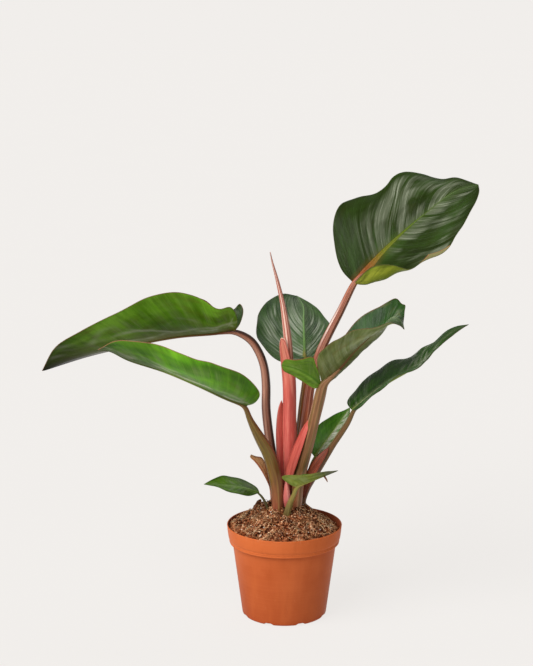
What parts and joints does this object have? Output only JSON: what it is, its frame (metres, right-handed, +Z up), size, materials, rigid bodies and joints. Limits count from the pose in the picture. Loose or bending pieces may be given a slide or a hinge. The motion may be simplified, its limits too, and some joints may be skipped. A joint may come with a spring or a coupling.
{
  "type": "potted congo rojo philodendron",
  "caption": "Leafy aroid house plant with long reddish stalks, broad glossy arching leaves, a rolled new leaf and papery sheaths, growing in soil in a tapered terracotta-coloured pot.",
  "frame": {"origin": "middle of the pot's underside, on the surface that the pot stands on", "axes": "+Z up through the pot, +X to the right as seen from the front, +Y away from the front"},
  "size_m": [0.5751, 0.2898, 0.5748],
  "materials": {
    "leaf_blade": "glossy leaf surface, dark green above and lighter green below",
    "leaf_stalk": "smooth, reddish brown to olive",
    "sheath": "smooth, salmon red to deep red",
    "dry_sheath": "dry and papery, brown",
    "stem": "smooth, brown",
    "soil": "loose coir and peat with white grains",
    "pot": "satin, terracotta orange"
  },
  "bodies": {
    "root": {"arching_left_blade": "leaf_blade", "arching_left_stalk": "leaf_stalk", "lower_left_blade": "leaf_blade", "lower_left_stalk": "leaf_stalk", "top_right_blade": "leaf_blade", "top_right_stalk": "leaf_stalk", "back_blade": "leaf_blade", "back_stalk": "leaf_stalk", "middle_right_blade": "leaf_blade", "middle_right_stalk": "leaf_stalk", "far_right_blade": "leaf_blade", "far_right_stalk": "leaf_stalk", "small_lower_right_blade": "leaf_blade", "small_lower_right_stalk": "leaf_stalk", "small_front_blade": "leaf_blade", "small_front_stalk": "leaf_stalk", "small_left_blade": "leaf_blade", "small_left_stalk": "leaf_stalk", "spear": "sheath", "main_cataphyll": "sheath", "left_cataphyll": "sheath", "right_cataphyll": "sheath", "dry_cataphyll": "dry_sheath", "crown_stem": "stem", "soil": "soil", "pot": "pot"}
  },
  "joints": []
}
